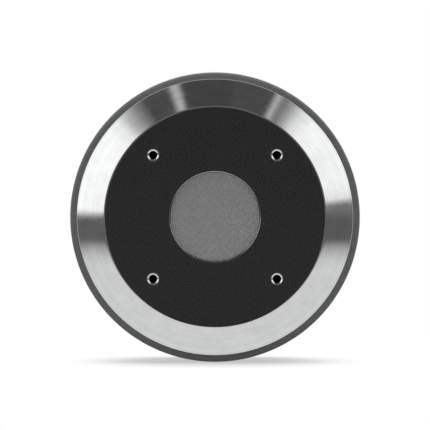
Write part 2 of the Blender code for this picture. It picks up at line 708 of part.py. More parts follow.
def make_rear_cover(shop):
    """A deep ribbed cap: outer body, fins and terminal block joined, then hollowed."""
    body = [
        (0.0, COVER_FRONT),
        (FLANGE_OUTER, COVER_FRONT),
        (FLANGE_OUTER, FLANGE_BACK),
        (COVER_OUTER, FLANGE_BACK),
        (COVER_OUTER, COVER_BACK - COVER_EDGE),
        (COVER_OUTER - COVER_EDGE * 0.29, COVER_BACK - COVER_EDGE * 0.29),
        (COVER_OUTER - COVER_EDGE, COVER_BACK),
        (BADGE_RADIUS, COVER_BACK),
        (BADGE_RADIUS, COVER_BACK - BADGE_DEPTH),
        (0.0, COVER_BACK - BADGE_DEPTH),
    ]
    cover = shop.axial("rear_cover", body, "black_plastic", solid=True)
    fin_root = COVER_OUTER - COVER_WALL / 2
    fin_front = FLANGE_BACK - 1.0
    for angle in fin_angles():
        low = (fin_root, fin_front, -FIN_WIDTH / 2)
        high = (COVER_OUTER + FIN_REACH, fin_front + FIN_LENGTH, FIN_WIDTH / 2)
        fin = shop.block(f"cover_fin_{angle:.0f}", low, high, None)
        fin.rotation_euler = (0.0, -math.radians(angle), 0.0)
        boolean(cover, fin, "UNION")
    low = (-BLOCK_HALF_WIDTH, BLOCK_FRONT, COVER_INNER * 0.8)
    high = (BLOCK_HALF_WIDTH, BLOCK_BACK, BLOCK_TOP)
    boolean(cover, shop.block("terminal_block", low, high, None), "UNION")
    chamber = [
        (0.0, COVER_FRONT - 1.0),
        (COVER_INNER, COVER_FRONT - 1.0),
        (COVER_INNER, CHAMBER_BACK),
        (0.0, CHAMBER_BACK),
    ]
    boolean(cover, shop.axial("cover_chamber", chamber, None, solid=True), "DIFFERENCE")
    half = BLOCK_HALF_WIDTH - BLOCK_EDGE
    low = (-half, BLOCK_FRONT + BLOCK_EDGE, COVER_INNER * 0.75)
    high = (half, BLOCK_BACK - BLOCK_EDGE, POCKET_TOP)
    boolean(cover, shop.block("terminal_pocket", low, high, None), "DIFFERENCE")
    hole = SCREW_RADIUS + SCREW_GAP
    front, back = COVER_FRONT - 1.0, FLANGE_BACK + 1.0
    holes = shop.rods("cover_screw_holes", cover_screw_places(), hole, front, back)
    boolean(cover, holes, "DIFFERENCE")
    for side, sign in SIDES.items():
        radius = BUSH_NECK_RADIUS + SEAT_GAP
        top, bottom = BLOCK_TOP + 1.0, POCKET_TOP - 1.0
        profile = [(0.0, top), (radius, top), (radius, bottom), (0.0, bottom)]
        bore = shop.turned(f"bush_hole_{side}", profile, None, None, SMALL_SEGMENTS, solid=True)
        bore.location = (sign * TERMINAL_SPACING / 2 * MM, TERMINAL_DEPTH * MM, 0.0)
        boolean(cover, bore, "DIFFERENCE")
    for i, place in enumerate(cover_screw_places(), 1):
        make_screw(shop, f"cover_screw_{i}", place, FLANGE_BACK, TOP_PLATE_BACK - COVER_SCREW_BITE)


def make_damping_pad(shop):
    back = CHAMBER_BACK - SEAT_GAP
    front = back - PAD_THICKNESS
    profile = [(0.0, front), (PAD_RADIUS, front), (PAD_RADIUS, back), (0.0, back)]
    shop.axial("damping_pad", profile, "black_felt", solid=True)


def make_post(shop, side, axis):
    """A brass post with a head, a nut's length of tail and a cross hole for the speaker wire."""
    tail = NUT_BOTTOM - POST_TAIL
    head_top = POST_HEAD_BOTTOM + POST_HEAD_HEIGHT
    profile = [
        (0.0, head_top),
        (POST_HEAD_RADIUS, head_top),
        (POST_HEAD_RADIUS, POST_HEAD_BOTTOM),
        (POST_RADIUS, POST_HEAD_BOTTOM),
        (POST_RADIUS, tail),
        (0.0, tail),
    ]
    name = f"terminal_post_{side}"
    post = shop.turned(name, profile, "brass", axis, SMALL_SEGMENTS, solid=True)
    reach = POST_HEAD_RADIUS
    cross = [(0.0, reach), (WIRE_HOLE_RADIUS, reach), (WIRE_HOLE_RADIUS, -reach), (0.0, -reach)]
    hole = shop.turned(f"wire_hole_{side}", cross, None, axis, SMALL_SEGMENTS, solid=True)
    hole.rotation_euler = (math.pi / 2, 0.0, 0.0)
    hole.location = (0.0, 0.0, (BUTTON_TOP - WIRE_HOLE_RADIUS - SEAT_GAP) * MM)
    boolean(post, hole, "DIFFERENCE")


def make_button(shop, side, axis):
    """A push cap with a bore for the post and a wider one below for the spring."""
    bore = POST_RADIUS + SEAT_GAP
    spring_bore = SPRING_RADIUS + SPRING_WIRE_RADIUS + SEAT_GAP
    shelf = BUTTON_TOP - BUTTON_SKIN
    profile = [
        (bore, BUTTON_TOP),
        (BUTTON_RADIUS - BUTTON_EDGE, BUTTON_TOP),
        (BUTTON_RADIUS, BUTTON_TOP - BUTTON_EDGE),
        (BUTTON_RADIUS, BUTTON_BOTTOM),
        (spring_bore, BUTTON_BOTTOM),
        (spring_bore, shelf),
        (bore, shelf),
    ]
    finish = "red_plastic" if side == "red" else "black_plastic"
    shop.turned(f"terminal_button_{side}", profile, finish, axis, BUTTON_SEGMENTS)


def make_spring(shop, side, axis):
    low = BUSH_TOP + SEAT_GAP + SPRING_WIRE_RADIUS
    high = BUTTON_TOP - BUTTON_SKIN - SEAT_GAP - SPRING_WIRE_RADIUS
    count = SPRING_TURNS * SPRING_POINTS
    points = []
    for i in range(count + 1):
        angle = 2 * math.pi * i / SPRING_POINTS
        height = low + (high - low) * i / count
        points.append((SPRING_RADIUS * math.cos(angle), SPRING_RADIUS * math.sin(angle), height))
    shop.tube(f"terminal_spring_{side}", points, SPRING_WIRE_RADIUS, "plated_steel", axis)


def make_bushing(shop, side, axis):
    bore = POST_RADIUS + SEAT_GAP
    neck_end = LUG_TOP + SEAT_GAP
    profile = [
        (bore, BUSH_TOP),
        (BUSH_FLANGE_RADIUS, BUSH_TOP),
        (BUSH_FLANGE_RADIUS, BLOCK_TOP + SEAT_GAP),
        (BUSH_NECK_RADIUS, BLOCK_TOP + SEAT_GAP),
        (BUSH_NECK_RADIUS, neck_end),
        (bore, neck_end),
    ]
    shop.turned(f"terminal_bushing_{side}", profile, "black_plastic", axis, SMALL_SEGMENTS)


def make_lug_and_nut(shop, side, axis):
    bore = POST_RADIUS + SEAT_GAP
    lug_bottom = LUG_TOP - LUG_THICKNESS
    profile = [(bore, LUG_TOP), (LUG_RADIUS, LUG_TOP), (LUG_RADIUS, lug_bottom), (bore, lug_bottom)]
    lug = shop.turned(f"terminal_lug_{side}", profile, "brass", axis, SMALL_SEGMENTS)
    low = (-LUG_WIDTH / 2, -LUG_REACH, lug_bottom)
    high = (LUG_WIDTH / 2, -(bore + 0.8), LUG_TOP)
    boolean(lug, shop.block(f"lug_tab_{side}", low, high, None, axis), "UNION")
    corner = bore / math.cos(math.pi / 6)
    nut = [(corner, NUT_TOP), (NUT_RADIUS, NUT_TOP), (NUT_RADIUS, NUT_BOTTOM), (corner, NUT_BOTTOM)]
    shop.turned(f"terminal_nut_{side}", nut, "plated_steel", axis, 6)


def make_terminal(shop, side):
    """One push terminal, all of it on one upright axis."""
    x = SIDES[side] * TERMINAL_SPACING / 2
    axis = shop.empty(f"terminal_axis_{side}", (x, TERMINAL_DEPTH, 0.0))
    make_bushing(shop, side, axis)
    make_post(shop, side, axis)
    make_button(shop, side, axis)
    make_spring(shop, side, axis)
    make_lug_and_nut(shop, side, axis)


def make_contact(shop, side):
    """A contact tab on the frame, the coil's lead-out to it and the wire on to the terminal."""
    turn = SIDES[side] * math.radians(TAB_ANGLE)
    axis = shop.empty(f"contact_axis_{side}", (0, 0, 0), (0.0, turn, 0.0))
    front = FRAME_BACK + SEAT_GAP
    back = front + TAB_THICKNESS
    low_end = FRAME_OUTER - TAB_INSET - TAB_LENGTH
    high_end = low_end + TAB_LENGTH
    half = TAB_WIDTH / 2
    low, high = (-half, front, low_end), (half, back, high_end)
    tab = shop.block(f"contact_tab_{side}", low, high, "brass", axis)
    tongue_half = half * TONGUE_SHARE
    low = (-tongue_half, front, high_end - TAB_THICKNESS)
    high = (tongue_half, back + TAB_RISE, high_end)
    boolean(tab, shop.block(f"tab_tongue_{side}", low, high, None, axis), "UNION")
    roll_top = DOME_BASE + SURROUND_WALL + ROLL_HEIGHT
    start = DOME_BASE + SURROUND_WALL + SEAT_GAP + COIL_LEAD_RADIUS
    route = [
        (0.0, start, LIP_RADIUS + 0.4),
        (0.0, roll_top + LEAD_ARCH, (ROLL_INNER + ROLL_OUTER) / 2),
        (0.0, start, SURROUND_OUTER + 0.6),
        (0.0, start, low_end - SEAT_GAP),
    ]
    shop.tube(f"coil_lead_{side}", smooth_route(route), COIL_LEAD_RADIUS, "copper", axis)
    tongue = Vector((0.0, back + TAB_RISE - SOLDER_INSET, high_end - TAB_THICKNESS - WIRE_END_GAP))
    tongue.rotate(Matrix.Rotation(turn, 3, "Y"))
    lug_x = SIDES[side] * TERMINAL_SPACING / 2
    lug_bottom = LUG_TOP - LUG_THICKNESS
    lug_end = Vector((lug_x, TERMINAL_DEPTH - LUG_REACH + SOLDER_INSET, lug_bottom - WIRE_END_GAP))
    lower = Vector((tongue.x * 0.7 + lug_x * 0.3, tongue.y - 0.2, tongue.z - 4.0))
    upper = Vector((lug_x * 0.9 + tongue.x * 0.1, lug_end.y - 0.5, lug_end.z - 5.0))
    route = [tongue, lower, upper, lug_end]
    shop.tube(f"lead_wire_{side}", smooth_route(route), LEAD_WIRE_RADIUS, f"wire_{side}")


def main():
    clear_scene()
    shop = Workshop()
    make_front_gasket(shop)
    make_front_plate(shop)
    make_pole_piece(shop)
    make_throat_mesh(shop)
    make_ferrite_magnet(shop)
    make_top_plate(shop)
    make_shorting_sleeve(shop)
    make_phase_plug(shop)
    make_diaphragm(shop)
    make_surround(shop)
    make_diaphragm_frame(shop)
    make_cover_gasket(shop)
    make_rear_cover(shop)
    make_damping_pad(shop)
    for side in SIDES:
        make_terminal(shop, side)
        make_contact(shop, side)
    for piece in list(shop.parts.objects):
        if piece.type == "MESH":
            settle(piece)


main()
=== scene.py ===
"""Dressed model of a bolt-on compression driver: gasket, turned front plate, woven throat mesh,
ferrite ring, finned rear cover and two push terminals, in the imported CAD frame.

Sizes are in millimetres and turn into metres through MM. The driver's axis lies along Y, its front
faces -Y and +Z is up.
"""

import json
import logging
import math
from dataclasses import dataclass, field
from enum import Enum
from typing import Optional, Union

import bpy
from mathutils import Matrix, Vector

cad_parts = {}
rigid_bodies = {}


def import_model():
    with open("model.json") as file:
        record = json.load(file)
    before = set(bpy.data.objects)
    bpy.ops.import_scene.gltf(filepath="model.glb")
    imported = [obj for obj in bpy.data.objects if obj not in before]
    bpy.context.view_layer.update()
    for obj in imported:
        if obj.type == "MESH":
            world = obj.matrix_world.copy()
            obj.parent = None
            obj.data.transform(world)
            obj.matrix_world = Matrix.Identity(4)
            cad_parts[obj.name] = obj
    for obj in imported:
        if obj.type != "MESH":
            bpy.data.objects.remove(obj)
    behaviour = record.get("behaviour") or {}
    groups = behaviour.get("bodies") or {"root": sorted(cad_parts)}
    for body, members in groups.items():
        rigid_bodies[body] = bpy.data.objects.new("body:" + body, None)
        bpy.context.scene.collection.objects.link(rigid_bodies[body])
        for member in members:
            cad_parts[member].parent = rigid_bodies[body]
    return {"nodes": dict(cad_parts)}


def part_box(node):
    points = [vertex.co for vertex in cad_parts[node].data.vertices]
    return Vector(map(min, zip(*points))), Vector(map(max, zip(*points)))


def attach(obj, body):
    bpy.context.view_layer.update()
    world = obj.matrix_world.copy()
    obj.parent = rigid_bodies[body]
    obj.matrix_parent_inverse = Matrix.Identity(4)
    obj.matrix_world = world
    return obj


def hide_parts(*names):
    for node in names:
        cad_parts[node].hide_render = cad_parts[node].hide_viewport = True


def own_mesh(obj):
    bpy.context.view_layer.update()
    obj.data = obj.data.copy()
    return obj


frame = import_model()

logging.basicConfig(level=logging.INFO, format="%(name)s: %(message)s")
log = logging.getLogger("driver")

# millimetres to metres, and the distance in metres within which points are one
MM = 0.001
MERGE = 0.000002
# edges stay sharp past the first angle, and on round wires past the second
SMOOTH_ANGLE = math.radians(27)
CROWN_ANGLE = math.radians(75)
# where a rounded corner's middle lies, and the turn past which a corner is left as it is
ROUNDED = 0.293
NEARLY_STRAIGHT = math.radians(168)
# the middle range that a noise texture's values mostly keep to
NOISE_LOW, NOISE_HIGH = 0.32, 0.68
# size of the patches of wear, as a share of the patches of colour
WORN = 0.37
# a map that eases in and out
EASED = {"clamp": True, "interpolation_type": "SMOOTHSTEP"}

Outline = list[tuple[float, float]]
Value = Union[float, str, tuple, bpy.types.NodeSocket]
Inputs = dict[Union[str, int], Value]


class Axis(Enum):
    """Which way a turned piece's axis points."""

    DEPTH = "Y"
    UP = "Z"


class Pattern(Enum):
    """How a finish varies over its surface."""

    NOISE = "noise"
    RINGS = "rings"
    SPECKLE = "speckle"
    FIBRE = "fibre"


# Modelling steps


def eased(outline: Outline, size: float) -> Outline:
    """Rounds an outline's corners and holds each one with a support point either side.

    Args:
        outline: closed (radius, along) pairs in mm.
        size: how far from the corner the rounding starts, in mm.

    Returns:
        The outline with every corner that has room for it rounded off.
    """
    done: Outline = []
    for index, corner in enumerate(outline):
        here = Vector(corner)
        back = Vector(outline[index - 1]) - here
        on = Vector(outline[(index + 1) % len(outline)]) - here
        tight = min(back.length, on.length) < 4 * size
        if here.x == 0 or tight or back.angle(on) > NEARLY_STRAIGHT:
            done.append(corner)
            continue
        back.normalize()
        on.normalize()
        held = [back * 2, back, (back + on) * ROUNDED, on, on * 2]
        done += [tuple(here + step * size) for step in held]
    return done


def arc(
    centre: tuple[float, float], radius: float, first: float, last: float, steps: int
) -> Outline:
    """Points along part of a circle.

    Args:
        centre: (radius, along) of the arc's centre in mm.
        radius: the arc's radius in mm.
        first: angle of the first point in degrees.
        last: angle of the last point in degrees.
        steps: number of spans.

    Returns:
        The points from first to last.
    """
    turns = [math.radians(first + (last - first) * i / steps) for i in range(steps + 1)]
    return [(centre[0] + radius * math.cos(t), centre[1] + radius * math.sin(t)) for t in turns]


def thread(outer: float, inner: float, start: float, end: float, pitch: float) -> Outline:
    """The zigzag of a screw thread seen in section.

    Args:
        outer: crest radius in mm.
        inner: root radius in mm.
        start: where the thread starts along the axis, in mm.
        end: where it ends, in mm.
        pitch: distance between crests in mm.

    Returns:
        Points from start to end.
    """
    count = int(abs(end - start) / pitch)
    way = math.copysign(pitch, end - start)
    points: Outline = []
    for turn in range(count):
        at = start + turn * way
        points += [(inner, at), (outer, at + way * 0.42), (outer, at + way * 0.58)]
    return points + [(inner, start + count * way)]


class Bench:
    """Modelling steps that every sub-assembly shares."""

    @staticmethod
    def clear() -> None:
        """Leaves edit mode and deselects everything."""
        if bpy.context.object and bpy.context.object.mode != "OBJECT":
            bpy.ops.object.mode_set(mode="OBJECT")
        bpy.ops.object.select_all(action="DESELECT")

    @staticmethod
    def pick(*objects: bpy.types.Object) -> None:
        """Selects these objects, the first one active."""
        Bench.clear()
        for each in objects:
            each.select_set(True)
        bpy.context.view_layer.objects.active = objects[0]

    @staticmethod
    def fix(name: str) -> bpy.types.Object:
        """Names the active object and moves its place into its mesh.

        Args:
            name: its new name.

        Returns:
            The object.
        """
        made = bpy.context.object
        made.name = made.data.name = name
        bpy.ops.object.transform_apply(location=True, rotation=True, scale=True)
        return made

    @staticmethod
    def enter() -> None:
        """Starts editing the active object, all of it selected."""
        bpy.ops.object.mode_set(mode="EDIT")
        bpy.ops.mesh.select_all(action="SELECT")

    @staticmethod
    def leave(sides: int = 0) -> None:
        """Stops editing, with the faces turned outward and holes of up to so many sides filled.

        Args:
            sides: the most sides a filled hole may have.
        """
        bpy.ops.mesh.select_all(action="SELECT")
        if sides:
            bpy.ops.mesh.fill_holes(sides=sides)
            bpy.ops.mesh.select_all(action="SELECT")
        bpy.ops.mesh.normals_make_consistent(inside=False)
        bpy.ops.object.mode_set(mode="OBJECT")

    @staticmethod
    def turned(
        name: str,
        outline: Outline,
        segments: int = 192,
        centre: tuple[float, float, float] = (0.0, 0.0, 0.0),
        axis: Axis = Axis.DEPTH,
    ) -> bpy.types.Object:
        """Spins a closed outline once round its axis.

        Args:
            name: the new object's name.
            outline: closed (radius, along) pairs in mm.
            segments: facets round the turn.
            centre: a point on the axis in mm.
            axis: which way the axis points.

        Returns:
            The closed solid, normals outward.
        """
        flat = (lambda r, a: (r, a, 0)) if axis is Axis.DEPTH else (lambda r, a: (r, 0, a))
        origin = Vector(centre) * MM
        points = [origin + Vector(flat(r, a)) * MM for r, a in outline]
        on_axis = outline[0][0] == 0 and outline[-1][0] == 0
        if not on_axis:
            points.append(points[0])
        Bench.clear()
        bpy.ops.mesh.primitive_plane_add(size=MM, location=points[0])
        made = Bench.fix(name)
        Bench.enter()
        bpy.ops.mesh.merge(type="CENTER")
        for before, after in zip(points, points[1:]):
            bpy.ops.mesh.extrude_vertices_move(
                TRANSFORM_OT_translate={"value": tuple(after - before)}
            )
        bpy.ops.mesh.select_all(action="SELECT")
        line = (0, 1, 0) if axis is Axis.DEPTH else (0, 0, 1)
        bpy.ops.mesh.spin(steps=segments, angle=math.tau, center=origin, axis=line)
        bpy.ops.mesh.select_all(action="SELECT")
        bpy.ops.mesh.remove_doubles(threshold=MERGE)
        Bench.leave()
        return made

    @staticmethod
    def rod(
        name: str,
        radius: float,
        length: float,
        centre: tuple[float, float, float],
        axis: Axis = Axis.DEPTH,
        sides: int = 48,
    ) -> bpy.types.Object:
        """A cylinder for cutting with.

        Args:
            name: the new object's name.
            radius: its radius in mm.
            length: its length in mm.
            centre: its middle in mm.
            axis: which way it points.
            sides: facets round it.

        Returns:
            The cylinder.
        """
        Bench.clear()
        bpy.ops.mesh.primitive_cylinder_add(
            vertices=sides,
            radius=radius * MM,
            depth=length * MM,
            location=Vector(centre) * MM,
            rotation=(math.pi / 2, 0, 0) if axis is Axis.DEPTH else (0, 0, 0),
        )
        return Bench.fix(name)

    @staticmethod
    def block(
        name: str,
        low: tuple[float, float, float],
        high: tuple[float, float, float],
        edge: float = 0.0,
        steps: int = 3,
    ) -> bpy.types.Object:
        """A box with rounded edges.

        Args:
            name: the new object's name.
            low: its lowest corner in mm.
            high: its highest corner in mm.
            edge: how much its edges are rounded, in mm.
            steps: facets across each rounded edge.

        Returns:
            The box.
        """
        Bench.clear()
        first, last = Vector(low) * MM, Vector(high) * MM
        bpy.ops.mesh.primitive_cube_add(
            size=1, location=(first + last) / 2, scale=tuple(last - first)
        )
        made = Bench.fix(name)
        if edge:
            Bench.enter()
            bpy.ops.mesh.bevel(offset=edge * MM, segments=steps, affect="EDGES")
            bpy.ops.object.mode_set(mode="OBJECT")
        return made

    @staticmethod
    def copy(source: bpy.types.Object, name: str, move: Matrix) -> bpy.types.Object:
        """Copies a piece with a mesh of its own.

        Args:
            source: the piece to copy.
            name: the copy's name.
            move: how the copy's mesh is moved.

        Returns:
            The copy.
        """
        Bench.pick(source)
        bpy.ops.object.duplicate(linked=False)
        bpy.context.object.matrix_world = move
        return Bench.fix(name)

    @staticmethod
    def around(source: bpy.types.Object, name: str, degrees: float) -> bpy.types.Object:
        """Copies a piece round the driver's axis, anticlockwise as seen from the front."""
        return Bench.copy(source, name, Matrix.Rotation(-math.radians(degrees), 4, "Y"))

    @staticmethod
    def join(*parts: bpy.types.Object) -> bpy.types.Object:
        """Joins several objects.

        Returns:
            The first one, which holds them all.
        """
        Bench.pick(*parts)
        bpy.ops.object.join()
        return bpy.context.object

    @staticmethod
    def combine(target: bpy.types.Object, tool: bpy.types.Object, how: str) -> None:
        """Unites a tool with the target or cuts it out, and uses the tool up.

        Args:
            target: the piece being shaped.
            tool: one or more closed shells.
            how: UNION or DIFFERENCE.
        """
        Bench.pick(target)
        bpy.ops.object.modifier_add(type="BOOLEAN")
        step = target.modifiers[-1]
        step.operation, step.solver, step.object = how, "EXACT", tool
        bpy.ops.object.modifier_apply(modifier=step.name)
        bpy.data.objects.remove(tool)

    @staticmethod
    def smooth(obj: bpy.types.Object, angle: float = SMOOTH_ANGLE) -> None:
        """Smooth shading, sharp where faces meet at more than the angle."""
        Bench.pick(obj)
        bpy.ops.object.shade_smooth_by_angle(angle=angle)

    @staticmethod
    def finish(
        obj: bpy.types.Object,
        material: bpy.types.Material,
        slot: str,
        body: str,
        *nodes: str,
    ) -> bpy.types.Object:
        """Gives a finished piece its material and body, in place of its CAD nodes.

        Args:
            obj: the finished piece.
            material: its finish.
            slot: the record's material slot; not used.
            body: the CAD body it rides on.
            nodes: the CAD nodes it stands for.

        Returns:
            The same piece.
        """
        obj.data.materials.clear()
        obj.data.materials.append(material)
        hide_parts(*nodes)
        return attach(obj, body)


# Finishes


def linear(code: str) -> tuple[float, float, float, float]:
    """Turns an sRGB hex code such as "7f8081" into linear RGBA.

    Args:
        code: six hex digits.

    Returns:
        Red, green, blue and 1.
    """
    parts = [int(code[i : i + 2], 16) / 255 for i in (0, 2, 4)]
    line = [p / 12.92 if p <= 0.04045 else ((p + 0.055) / 1.055) ** 2.4 for p in parts]
    return (*line, 1.0)


def add(
    tree: bpy.types.NodeTree,
    kind: str,
    settings: Optional[dict[str, object]] = None,
    inputs: Optional[Inputs] = None,
) -> bpy.types.Node:
    """Adds one shader node.

    Args:
        tree: the node tree it goes in.
        kind: the node's type.
        settings: properties to set on it.
        inputs: values to set or outputs to link, by input.

    Returns:
        The new node.
    """
    made = tree.nodes.new(kind)
    for key, value in (settings or {}).items():
        setattr(made, key, value)
    for key, value in (inputs or {}).items():
        if isinstance(value, bpy.types.NodeSocket):
            tree.links.new(value, made.inputs[key])
        else:
            made.inputs[key].default_value = value
    return made


@dataclass(frozen=True)
class Finish:
    """One material and how its surface was made.

    Attributes:
        name: plain name of the material and its making.
        colour: sRGB hex of most of the surface.
        mottle: sRGB hex of its patches.
        roughness: least and most roughness over the surface.
        metallic: 1 for bare metal.
        patch: size of the colour patches in mm.
        grain: size of the finest relief in mm.
        relief: height of that relief in mm.
        pattern: how the relief lies.
        along: stretch of the blur across the tool marks, 0 to 1.
        gloss: level of the coating's or plastic's reflection.
        sheen: soft fuzz of fibres.
    """

    name: str
    colour: str
    mottle: str
    roughness: tuple[float, float]
    metallic: float = 0.0
    patch: float = 6.0
    grain: float = 0.5
    relief: float = 0.01
    pattern: Pattern = Pattern.NOISE
    along: float = 0.0
    gloss: float = 0.5
    sheen: float = 0.0

    def build(self) -> bpy.types.Material:
        """Makes the material.

        Returns:
            A procedural material in Object coordinates.
        """
        material = bpy.data.materials.new(self.name)
        material.use_nodes = True
        tree = material.node_tree
        tree.nodes.clear()
        place = add(tree, "ShaderNodeTexCoord").outputs["Object"]
        inputs: Inputs = {"Vector": place, "Scale": 1 / (self.patch * MM), "Detail": 3.0}
        patches = add(tree, "ShaderNodeTexNoise", None, inputs).outputs[0]
        if self.pattern is Pattern.RINGS:
            inputs = {0: patches, 1: self._relief(tree, place)}
            both = add(tree, "ShaderNodeMath", {"operation": "ADD"}, inputs).outputs[0]
            inputs = {0: both, 1: 0.5}
            patches = add(tree, "ShaderNodeMath", {"operation": "MULTIPLY"}, inputs).outputs[0]
        middle = {"From Min": NOISE_LOW, "From Max": NOISE_HIGH}
        inputs = {"Value": patches, **middle}
        share = add(tree, "ShaderNodeMapRange", {"clamp": True}, inputs).outputs[0]
        inputs = {0: share, 6: linear(self.colour), 7: linear(self.mottle)}
        colour = add(tree, "ShaderNodeMix", {"data_type": "RGBA"}, inputs).outputs[2]
        inputs = {"Vector": place, "Scale": 1 / (self.patch * WORN * MM), "Detail": 4.0}
        worn = add(tree, "ShaderNodeTexNoise", None, inputs).outputs[0]
        low, high = self.roughness
        inputs = {"Value": worn, "To Min": low, "To Max": high, **middle}
        rough = add(tree, "ShaderNodeMapRange", {"clamp": True}, inputs).outputs[0]
        height = {"Distance": self.relief * MM, "Height": self._relief(tree, place)}
        bump = add(tree, "ShaderNodeBump", None, {"Strength": 1.0, **height})
        inputs = {
            "Base Color": colour,
            "Roughness": rough,
            "Metallic": self.metallic,
            "Normal": bump.outputs["Normal"],
        }
        if not self.metallic:
            inputs["Specular IOR Level"] = self.gloss
        if self.sheen:
            inputs["Sheen Weight"] = self.sheen
        if self.along:
            tangent = add(tree, "ShaderNodeTangent", {"direction_type": "RADIAL", "axis": "Y"})
            inputs["Anisotropic"] = self.along
            inputs["Anisotropic Rotation"] = 0.25
            inputs["Tangent"] = tangent.outputs[0]
        surface = add(tree, "ShaderNodeBsdfPrincipled", None, inputs)
        add(tree, "ShaderNodeOutputMaterial", None, {"Surface": surface.outputs[0]})
        return material

    def _relief(self, tree: bpy.types.NodeTree, place: Value) -> Value:
        """The relief's height for this pattern.

        Args:
            tree: the material's node tree.
            place: the point being shaded.

        Returns:
            The output that holds the height.
        """
        scale = 1 / (self.grain * MM)
        if self.pattern is Pattern.SPECKLE:
            inputs: Inputs = {"Vector": place, "Scale": scale}
            return add(tree, "ShaderNodeTexVoronoi", None, inputs).outputs["Distance"]
        if self.pattern is Pattern.RINGS:
            inputs = {0: place, 1: (1, 0, 1)}
            flat = add(tree, "ShaderNodeVectorMath", {"operation": "MULTIPLY"}, inputs).outputs[0]
            settings = {"operation": "LENGTH"}
            radius = add(tree, "ShaderNodeVectorMath", settings, {0: flat}).outputs["Value"]
            inputs = {"W": radius, "Scale": scale, "Detail": 3.0, "Roughness": 0.6}
            return add(tree, "ShaderNodeTexNoise", {"noise_dimensions": "1D"}, inputs).outputs[0]
        detail = 3.0
        if self.pattern is Pattern.FIBRE:
            inputs = {"Vector": place, "Scale": (1.0, 7.0, 1.0)}
            place, detail = add(tree, "ShaderNodeMapping", None, inputs).outputs[0], 5.0
        inputs = {"Vector": place, "Scale": scale, "Detail": detail}
        return add(tree, "ShaderNodeTexNoise", None, inputs).outputs[0]


def finishes() -> dict[str, bpy.types.Material]:
    """Builds every finish.

    Returns:
        The materials, by the record's slot names.
    """
    table = {
        # mirror-bright zinc with faint concentric tool marks, so reflections run as radial bars;
        # the marks are drawn coarser than a real feed, so that they show
        "turned_steel": Finish(
            "turned steel, bright zinc", "dfe0e0", "cccdcd", (0.06, 0.12), 1.0,
            9.0, 1.1, 0.0012, Pattern.RINGS, 0.6,
        ),
        # bare tapped walls, dark with cutting oil, and darker still as painted shade deep in the
        # holes
        "tapped_steel": Finish(
            "tapped steel, oiled, painted shade", "2b2b2c", "232324", (0.45, 0.60), 1.0, 1.0, 0.3, 0.003,
        ),
        # the same plating on faces nobody polishes: greyer, blurrier reflections
        "plated_steel": Finish(
            "machined steel, dull zinc", "b4b7ba", "9fa3a7", (0.26, 0.38), 1.0,
            7.0, 0.8, 0.001, Pattern.RINGS, 0.4,
        ),
        # drawn stainless wire, bright on each crown and dark in each gap
        "steel_mesh": Finish(
            "drawn stainless wire, woven", "b6b7b7", "adaeae", (0.50, 0.60), 1.0, 1.5, 0.3, 0.001,
        ),
        # sintered ferrite: flat charcoal with a granular tooth, drawn coarser than its real grain
        "ferrite": Finish(
            "sintered ferrite, ground", "767778", "717273", (0.52, 0.70), 0.0,
            5.0, 0.35, 0.02, Pattern.SPECKLE, 0.0, 0.45,
        ),
        # closed-cell foam: near black, no highlight, its pinholes drawn coarser than life
        "foam": Finish(
            "closed-cell foam, die cut", "1b1b1c", "3c3c3d", (0.80, 0.94), 0.0,
            0.7, 0.55, 0.06, Pattern.SPECKLE, 0.0, 0.3,
        ),
        # glass-filled nylon: black with a spark-eroded mould texture that breaks up highlights
        "cover_plastic": Finish(
            "glass-filled nylon, textured mould", "111112", "171718", (0.46, 0.60), 0.0,
            3.0, 0.40, 0.03, Pattern.NOISE, 0.0, 0.45,
        ),
        # smoother black moulding for the inside pieces
        "black_plastic": Finish(
            "phenolic, pressed", "111112", "161617", (0.34, 0.46), 0.0, 4.0, 0.8, 0.01,
        ),
        # rolled titanium foil with a faint warm cast
        "dome_metal": Finish(
            "titanium foil, pressed", "a7a39d", "9b978f", (0.24, 0.36), 1.0, 5.0, 0.5, 0.002,
        ),
        # amber polyimide: warm and glossy
        "former_film": Finish(
            "polyimide film, wound", "9a5a1e", "8a4d18", (0.25, 0.35), 0.0, 4.0, 0.6, 0.002,
        ),
        # clear-brown polyester roll
        "surround_film": Finish(
            "polyester film, thermoformed", "4a4540", "544e48", (0.28, 0.40), 0.0, 3.0, 0.5, 0.004,
        ),
        # soft reddish copper with drawn lines
        "copper": Finish(
            "copper, drawn", "c9805c", "b46f4d", (0.22, 0.36), 1.0, 3.0, 0.3, 0.002,
        ),
        # pressed brown fibre with short strands
        "gasket_fibre": Finish(
            "gasket paper, pressed", "4b443c", "3f3932", (0.78, 0.90), 0.0,
            2.5, 0.3, 0.03, Pattern.FIBRE, 0.0, 0.3,
        ),
        # grey wool felt, fuzzy at its edge
        "felt": Finish(
            "wool felt, needled", "6f6d69", "5d5b58", (0.88, 0.97), 0.0,
            2.0, 0.5, 0.12, Pattern.FIBRE, 0.0, 0.2, 0.5,
        ),
        # black oxide over steel: dark, satin, slightly oily
        "black_screw": Finish(
            "steel, black oxide", "2c2c2e", "363638", (0.28, 0.40), 1.0, 1.2, 0.25, 0.004,
        ),
        # nickel over brass: bright, faintly warm
        "brass": Finish(
            "brass, nickel plated", "c4bda9", "b5ad98", (0.16, 0.26), 1.0, 2.0, 0.3, 0.001,
        ),
        # glossy red cap moulding: strong colour, clear highlights
        "red_plastic": Finish(
            "red cap moulding, polished mould", "8c1010", "800d0d", (0.20, 0.30), 0.0,
            3.0, 0.7, 0.003,
        ),
        # vinyl insulation: plain colour with a soft, waxy highlight
        "wire_red": Finish(
            "red vinyl, extruded", "a82222", "9a1c1c", (0.38, 0.48), 0.0, 2.0, 0.5, 0.006,
        ),
        "wire_black": Finish(
            "black vinyl, extruded", "1e1e20", "262628", (0.38, 0.48), 0.0, 2.0, 0.5, 0.006,
        ),
    }
    return {slot: finish.build() for slot, finish in table.items()}


# Sub-assemblies

Paints = dict[str, bpy.types.Material]


